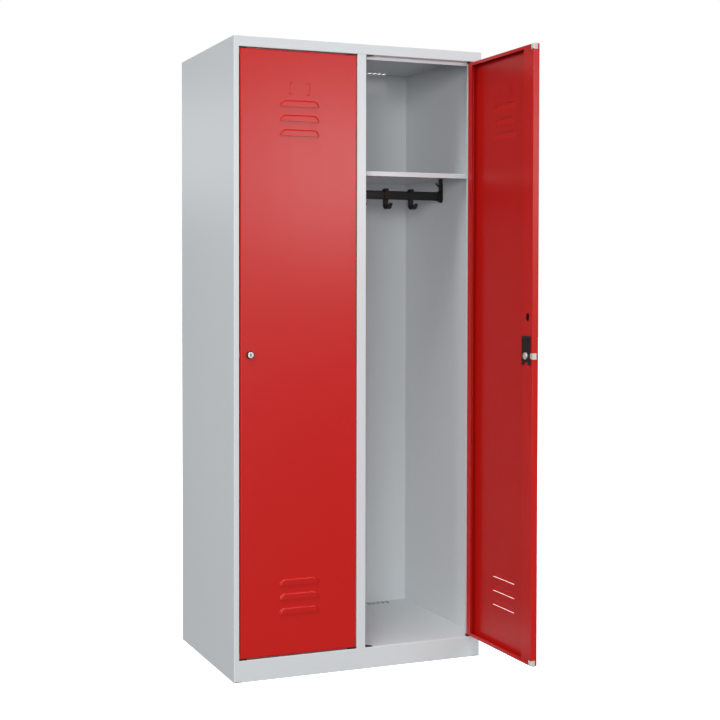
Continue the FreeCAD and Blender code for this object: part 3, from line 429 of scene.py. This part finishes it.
def tumbled_metal(name, colour, roughness, stretch, metallic=1.0):
    """Plain metal with fine marks, drawn out by a factor per axis."""
    metal = Finish(name)
    marks = metal.grain(TUMBLE_SIZE, 3, stretch)
    patina = metal.grain(PATINA_SIZE, 2)
    metal.shade(
        Base_Color=metal.blend(patina, tone(colour, 1 - PATINA_TONE), tone(colour, 1 + PATINA_TONE)),
        Metallic=metallic,
        Roughness=roughness + TUMBLE_SHEEN * (marks - 0.5) + PATINA_SHEEN * (patina - 0.5),
    )
    metal.bump(marks, TUMBLE_DEPTH)
    return metal


tumbled_zinc = tumbled_metal("tumbled_zinc", ZINC, TUMBLED_ROUGHNESS, EVEN, PLATING)
drawn_steel = tumbled_metal("drawn_steel", STEEL, STEEL_ROUGHNESS, DRAWN)
black_steel = tumbled_metal("black_steel", BLACKENED, TUMBLED_ROUGHNESS, EVEN)
print("metals ready")

# %% [markdown]
# ## Finishes onto the CAD nodes
# The record says which slot every node takes its finish from. A table of slots does most nodes at
# once. The doors and the lock faces then get the material that was made for their own side.

# %% Cover the nodes
slot_finish = {
    "cabinet_paint": cabinet_paint,
    "black_plastic": black_plastic,
    "white_plastic": white_plastic,
    "lock_metal": tumbled_zinc,
    "pin_steel": drawn_steel,
}


def cover(piece, finish):
    """Gives a piece one material."""
    piece.data.materials.clear()
    piece.data.materials.append(finish.material)


for subpart in record["subparts"]:
    name, slot = subpart["node"], subpart["material_slot"]
    side = name.split("_")[0]
    if slot == "door_paint":
        cover(nodes[name], door_paint[side])
    elif name.endswith("lock_cylinder"):
        cover(nodes[name], turned[side])
    else:
        cover(nodes[name], slot_finish[slot])
print("covered", len(record["subparts"]), "nodes")

# %% [markdown]
# ## Modelling by hand
# The small pieces that follow are modelled with the operators a person would use. Operators act on
# whatever is selected, so a few helpers keep the selection in order. Every finished piece has its
# place applied to its mesh, which leaves its object at the origin, as the CAD nodes are.

# %% Helpers for modelling
SMOOTH_UP_TO = math.radians(35)
UPWARDS = 0.9
TINY = 1e-6


def deselect():
    """Leaves nothing selected, so that an operator acts on the new piece alone."""
    bpy.ops.object.select_all(action="DESELECT")


def only(piece):
    """Makes one piece the selected and active one."""
    deselect()
    piece.select_set(True)
    bpy.context.view_layer.objects.active = piece


def edit(piece, mode, chosen):
    """Opens a piece in edit mode with the faces or edges selected that pass a test."""
    only(piece)
    mesh = piece.data
    for part in (mesh.vertices, mesh.edges, mesh.polygons):
        part.foreach_set("select", [False] * len(part))
    for part in mesh.polygons if mode == "FACE" else mesh.edges:
        if chosen(part, mesh.vertices):
            part.select = True
            for index in part.vertices:
                mesh.vertices[index].select = True
    bpy.context.tool_settings.mesh_select_mode = (False, mode == "EDGE", mode == "FACE")
    bpy.ops.object.mode_set(mode="EDIT")


def close_edit():
    bpy.ops.object.mode_set(mode="OBJECT")


def facing_up(part, vertices):
    return part.normal.z > UPWARDS


def settle(piece, name, finish, body):
    """Applies a piece's place, covers it, and hands it to the body it moves with."""
    only(piece)
    bpy.ops.object.transform_apply(location=True, rotation=True, scale=True)
    bpy.ops.object.shade_smooth_by_angle(angle=SMOOTH_UP_TO)
    piece.name = name
    cover(piece, finish)
    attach(piece, body)
    return piece


def copies(model, places, facing):
    """Copies a model that points along +Z to places where it points along facing, as one piece."""
    turn = Vector((0, 0, 1)).rotation_difference(Vector(facing))
    made = []
    for place in places:
        copy = model.copy()
        copy.data = model.data.copy()
        copy.rotation_mode = "QUATERNION"
        copy.rotation_quaternion = turn
        copy.location = place
        bpy.context.collection.objects.link(copy)
        made.append(copy)
    deselect()
    for copy in made:
        copy.select_set(True)
    bpy.context.view_layer.objects.active = made[0]
    if len(made) > 1:
        bpy.ops.object.join()
    return bpy.context.view_layer.objects.active


print("helpers ready")

# %% [markdown]
# ## Spot welds
# The sheets are spot-welded where they overlap. Each weld leaves a shallow round dimple with a soft
# rim under the paint, a few millimetres across, at even distances along the seam. Relief in the paint
# could show them in a picture, but then the mesh itself would not have them. One mark is a thin disc,
# inset three times: up to the rim, across it, and down into the dimple. Copies of it follow the seams
# on the cabinet's back.

# %% One weld mark
WELD_RADIUS = 3.5 * MM
WELD_SUNK = 0.3 * MM
WELD_RIM = 0.25 * MM
WELD_SLOPE = 0.25 * WELD_RADIUS
WELD_CREST = 0.15 * WELD_RADIUS
WELD_DIMPLE = 0.9 * WELD_RIM

deselect()
bpy.ops.mesh.primitive_cylinder_add(
    vertices=24, radius=WELD_RADIUS, depth=WELD_SUNK, location=(0, 0, -WELD_SUNK / 2)
)
weld_mark = bpy.context.object
edit(weld_mark, "FACE", facing_up)
bpy.ops.mesh.inset(thickness=WELD_SLOPE, depth=WELD_RIM)
bpy.ops.mesh.inset(thickness=WELD_CREST, depth=0)
bpy.ops.mesh.inset(thickness=WELD_SLOPE, depth=-WELD_DIMPLE)
close_edit()
print("weld mark faces", len(weld_mark.data.polygons))

# %% Welds along the seams of the back
WELD_PITCH = 0.104
FLANGE_INSET = 6.4 * MM
PARTITION_SEAM = 15.5 * MM
BASE_SEAM = 19.2 * MM
FROM_ENDS = 0.05
FROM_SIDES = 0.06


def spread(start, end, pitch):
    """Evenly spaced values between two ends, about a pitch apart."""
    count = max(2, round((end - start) / pitch) + 1)
    return [start + (end - start) * i / (count - 1) for i in range(count)]


wall_low, wall_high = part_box("left_side_wall")
panel_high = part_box("back_panel")[1]
rear, panel_rear = wall_high[1], panel_high[1]
side_x = -wall_low[0] - FLANGE_INSET
middle_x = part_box("centre_partition")[1][0] - PARTITION_SEAM
roof_seam = panel_high[2] - FLANGE_INSET
floor_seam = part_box("base_tray")[1][2] - BASE_SEAM
heights = spread(FROM_ENDS, wall_high[2] - FROM_ENDS, WELD_PITCH)
widths = spread(FROM_SIDES - side_x, side_x - FROM_SIDES, WELD_PITCH)
weld_places = [(x, rear, z) for x in (-side_x, side_x) for z in heights]
weld_places += [(middle_x, panel_rear, z) for z in heights[1:-1]]
weld_places += [(x, panel_rear, z) for z in (roof_seam, floor_seam) for x in widths]
welds = copies(weld_mark, weld_places, (0, 1, 0))
settle(welds, "back_spot_welds", cabinet_paint, "cabinet")
bpy.data.objects.remove(weld_mark)
print("welds", len(weld_places))

# %% [markdown]
# ## Screws
# The lock cases and the rail brackets are held by small blackened screws with a cross recess. A
# cylinder gives the head, and a bevel rounds its rim into a pan shape. The recess could be made by
# moving faces, but two crossed bars, cut out with a Boolean modifier, give clean walls in two steps.

# %% One cross-head screw
SCREW_RADIUS = 2.7 * MM
SCREW_HEAD = 1.5 * MM
SCREW_SUNK = 0.4 * MM
SCREW_ROUNDING = 0.75 * SCREW_HEAD
RECESS_REACH = 1.7 * MM
RECESS_WIDTH = 0.7 * MM
RECESS_DEPTH = 0.9 * MM

deselect()
bpy.ops.mesh.primitive_cylinder_add(
    vertices=32, radius=SCREW_RADIUS, depth=SCREW_HEAD + SCREW_SUNK,
    location=(0, 0, (SCREW_HEAD - SCREW_SUNK) / 2),
)
screw = bpy.context.object
bpy.ops.object.transform_apply(location=True)


def on_rim(edge, vertices):
    return all(vertices[i].co.z > SCREW_HEAD - TINY for i in edge.vertices)


edit(screw, "EDGE", on_rim)
bpy.ops.mesh.bevel(offset=SCREW_ROUNDING, segments=5, profile=0.5, affect="EDGES")
close_edit()

recess_bars = []
for reach, width in ((RECESS_REACH, RECESS_WIDTH / 2), (RECESS_WIDTH / 2, RECESS_REACH)):
    deselect()
    bpy.ops.mesh.primitive_cube_add(
        size=2, location=(0, 0, SCREW_HEAD), scale=(reach, width, RECESS_DEPTH)
    )
    recess_bars.append(bpy.context.object)
for bar in recess_bars:
    only(screw)
    cut = screw.modifiers.new("recess", "BOOLEAN")
    cut.operation = "DIFFERENCE"
    cut.object = bar
    bpy.ops.object.modifier_apply(modifier=cut.name)
    bpy.data.objects.remove(bar)
print("screw faces", len(screw.data.polygons))

# %% Screws in the lock cases and the rail brackets
CASE_SCREW_FROM_TOP = 9 * MM
CASE_SCREW_APART = 26 * MM
BRACKET_SCREW_BELOW_TOP = 25 * MM
BRACKET_PLATE = 4 * MM

for side, facing in (("left", (0, 1, 0)), ("right", (-1, 0, 0))):
    lowest, highest = (Vector(corner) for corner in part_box(f"{side}_lock_case"))
    centre = (lowest + highest) / 2
    surface = highest if side == "left" else lowest
    z = highest.z - CASE_SCREW_FROM_TOP
    offsets = (-CASE_SCREW_APART / 2, CASE_SCREW_APART / 2)
    if side == "left":
        places = [(centre.x + offset, surface.y, z) for offset in offsets]
    else:
        places = [(surface.x, centre.y + offset, z) for offset in offsets]
    piece = copies(screw, places, facing)
    settle(piece, f"{side}_case_screws", black_steel, f"{side}_door")
    for end in ("outer", "inner"):
        lowest, highest = (Vector(corner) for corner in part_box(f"{side}_{end}_rail_bracket"))
        leftwards = (side == "right") == (end == "outer")
        plate = highest.x - BRACKET_PLATE if leftwards else lowest.x + BRACKET_PLATE
        place = (plate, 0, highest.z - BRACKET_SCREW_BELOW_TOP)
        piece = copies(screw, [place], (-1 if leftwards else 1, 0, 0))
        settle(piece, f"{side}_{end}_bracket_screw", black_steel, "cabinet")
bpy.data.objects.remove(screw)
print("screws in place")

# %% [markdown]
# ## Painted shade in the slots
# Above each lock the lip has an upright slot with round ends. A black plastic cup is set into it as
# painted shade, so that the slot looks like a dark hole. Black paint on the edge would not do, because
# the slot would still show the lit door behind it. A block the size of the slot gets its round ends
# from a bevel. Its face is then inset and pushed in, and the block has become a cup.

# %% Painted-shade cups in the slots above the locks
SHADE_CUP_WIDTH = 15.05 * MM
SHADE_CUP_HEIGHT = 23.05 * MM
SHADE_CUP_DEPTH = 10 * MM
SHADE_CUP_WALL = 0.8 * MM
SHADE_CUP_TAPER = 0.24 * MM
SHADE_CUP_ROUNDING = 0.49
SLOT_FROM_EDGE = 25 * MM
SLOT_ABOVE_LOCK = 110 * MM


def along_depth(edge, vertices):
    first, second = (vertices[i].co for i in edge.vertices)
    return abs(first.z - second.z) > TINY


def slot_shade_cup(width, height):
    """A cup with round ends that opens upwards, with its rim at the origin's height."""
    deselect()
    bpy.ops.mesh.primitive_cube_add(
        size=1, location=(0, 0, -SHADE_CUP_DEPTH / 2), scale=(width, height, SHADE_CUP_DEPTH)
    )
    shade_cup = bpy.context.object
    bpy.ops.object.transform_apply(location=True, rotation=True, scale=True)
    edit(shade_cup, "EDGE", along_depth)
    rounding = SHADE_CUP_ROUNDING * min(width, height)
    bpy.ops.mesh.bevel(offset=rounding, segments=8, profile=0.5, affect="EDGES")
    close_edit()
    edit(shade_cup, "FACE", facing_up)
    bpy.ops.mesh.inset(thickness=SHADE_CUP_WALL, depth=0)
    bpy.ops.mesh.inset(thickness=SHADE_CUP_TAPER, depth=SHADE_CUP_WALL - SHADE_CUP_DEPTH)
    close_edit()
    return shade_cup


for side in SIDES:
    lowest, highest = (Vector(corner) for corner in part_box(f"{side}_door_panel"))
    z = middle_of(f"{side}_lock_rosette").z + SLOT_ABOVE_LOCK
    if side == "left":
        shade_cup = slot_shade_cup(SHADE_CUP_WIDTH, SHADE_CUP_HEIGHT)
        place, facing = (lowest.x + SLOT_FROM_EDGE, highest.y, z), (0, 1, 0)
    else:
        shade_cup = slot_shade_cup(SHADE_CUP_HEIGHT, SHADE_CUP_WIDTH)
        place, facing = (lowest.x, lowest.y + SLOT_FROM_EDGE, z), (-1, 0, 0)
    piece = copies(shade_cup, [place], facing)
    # The black cup is a dark piece put where the slot is only in shade: painted shade.
    settle(piece, f"{side}_slot_shade_cup", black_plastic, f"{side}_door")
    bpy.data.objects.remove(shade_cup)
    print(piece.name, "faces", len(piece.data.polygons), "at", place)

# %% [markdown]
# ## Floor
# The locker stands on a white studio floor that runs into a white backdrop. The floor could bounce
# light and show in the paint, but a studio puts a dark ground in front of the object to prevent that,
# and the lower half of the door stays deep red. So the camera alone sees the floor here. Under the
# locker the floor's colour and glow are painted dark, a painted shadow where no light gets through the
# slots.

# %% Floor
FLOOR_SIZE = 40
FLOOR_WHITE = (0.86, 0.86, 0.86)
FLOOR_SHADOW = (0.01, 0.01, 0.01)
FLOOR_GLOW = (1, 1, 1)
FLOOR_LIFT = 0.95
UNDER_SOFT = 0.02

deselect()
bpy.ops.mesh.primitive_plane_add(size=FLOOR_SIZE, location=(0, 0, 0))
floor = bpy.context.object
floor.name = "studio_floor"
floor_paint = Finish("studio_floor")


def within(axis, half):
    """1 on the part of the floor that is near the middle along one axis, 0 outside it."""
    from_middle = floor_paint.node("ShaderNodeMath", {"operation": "ABSOLUTE"}, {0: floor_paint.along(axis)})
    return floor_paint.rise(from_middle, half, half - UNDER_SOFT)


# Painted shadow: under the locker the floor's colour and glow turn dark.
under = within("X", cad_box[1][0]) * within("Y", wall_high[1])
floor_paint.shade(
    Base_Color=floor_paint.blend(under, FLOOR_WHITE, FLOOR_SHADOW), Roughness=1.0,
    Emission_Color=floor_paint.blend(under, FLOOR_GLOW, FLOOR_SHADOW), Emission_Strength=FLOOR_LIFT,
)
cover(floor, floor_paint)
floor.visible_glossy = False
floor.visible_diffuse = False
print("floor", FLOOR_SIZE, "metres wide")

# %% [markdown]
# ## Light
# A small softbox on the right in front is what shines in the upper half of the shut door. Larger ones,
# much further away, light the locker evenly from the front, the left, above and the right. A weak one
# behind it gives its left edge a line of light, and another, behind it on the right, grazes the back
# and brings out its seams. One lamp from the front would be simpler, but it would leave the folds
# flat. Lamps that would glare at a low angle are kept out of the reflections.

# %% Lamps
LIT_MIDDLE = (0, 0, 0.9)
FAR_BOX = (5.0, 5.0)


def softbox(name, place, aim, size, power, in_reflections=True):
    """Rectangular lamp that points from its place to an aim."""
    deselect()
    bpy.ops.object.light_add(type="AREA", location=place)
    lamp = bpy.context.object
    lamp.name = name
    lamp.rotation_mode = "QUATERNION"
    lamp.rotation_quaternion = (Vector(aim) - Vector(place)).to_track_quat("-Z", "Y")
    lamp.data.shape = "RECTANGLE"
    lamp.data.size, lamp.data.size_y = size
    lamp.data.energy = power
    lamp.visible_camera = False
    lamp.visible_glossy = in_reflections
    return lamp


lamps = [
    softbox("door_softbox", (1.8, -4.3, 1.88), (-0.1, -0.25, 1.5), (1.4, 0.6), power=24.0),
    softbox("front_softbox", (0.0, -15.0, 1.4), LIT_MIDDLE, FAR_BOX, power=330.0),
    softbox("corner_softbox", (-7.5, -12.9, 2.0), LIT_MIDDLE, FAR_BOX, power=1000.0, in_reflections=False),
    softbox("left_softbox", (-13.2, -3.3, 7.2), LIT_MIDDLE, FAR_BOX, power=720.0),
    softbox("top_softbox", (-3.6, -4.9, 14.6), LIT_MIDDLE, FAR_BOX, power=950.0),
    softbox("right_softbox", (13.0, 3.0, 5.0), LIT_MIDDLE, FAR_BOX, power=200.0, in_reflections=False),
    softbox("edge_softbox", (-1.9, 4.2, 2.0), (-0.4, 0, 1.4), (1.4, 0.7), power=3.0),
    softbox("rear_softbox", (4.2, 1.7, 2.6), (0, 0.25, 0.9), (1.2, 1.2), power=130.0, in_reflections=False),
]
print("lamps", len(lamps))

# %% [markdown]
# ## Backdrop
# The backdrop is pure white behind the locker, but a white world would also wash out every shadow.
# The world is therefore white where the camera looks at it, and a much weaker grey where it lights.

# %% Backdrop
BACKDROP_WHITE = (1, 1, 1, 1)
AMBIENT_GREY = (0.8, 0.8, 0.8, 1)
AMBIENT = 0.236

world = bpy.data.worlds.new("studio")
bpy.context.scene.world = world
sky = Graph(world)
looked_at = sky.node("ShaderNodeLightPath", output="Is Camera Ray")
ambient = sky.node("ShaderNodeBackground", {}, {"Color": AMBIENT_GREY, "Strength": AMBIENT})
backdrop = sky.node("ShaderNodeBackground", {}, {"Color": BACKDROP_WHITE, "Strength": 1.0})
either = sky.node("ShaderNodeMixShader", {}, {0: looked_at, 1: ambient, 2: backdrop})
sky.feed(sky.tree.nodes["World Output"].inputs["Surface"], either)
bpy.context.scene.view_settings.view_transform = "Standard"
print("ambient light", AMBIENT)

# %% [markdown]
# ## Camera
# The photograph is taken from the left, a little above the middle of the locker, with a long lens.
# The upright edges are parallel in it. Tilting the camera down would make them lean, so it looks
# almost level, and most of the framing comes from a shift of the lens.

# %% Camera
CAMERA_PLACE = (-1.63495, -3.74913, 1.14724)
CAMERA_TURN = 20.678
CAMERA_TILT = 1.323
CAMERA_LENS = 65.200
SENSOR_WIDTH = 36
CAMERA_SHIFT = (0.13593, -0.065)

deselect()
bpy.ops.object.camera_add(
    location=CAMERA_PLACE,
    rotation=(math.radians(90 - CAMERA_TILT), 0, math.radians(-CAMERA_TURN)),
)
camera = bpy.context.object
camera.data.sensor_width = SENSOR_WIDTH
camera.data.lens = CAMERA_LENS
camera.data.shift_x, camera.data.shift_y = CAMERA_SHIFT
bpy.context.scene.camera = camera
print("camera at", CAMERA_PLACE)
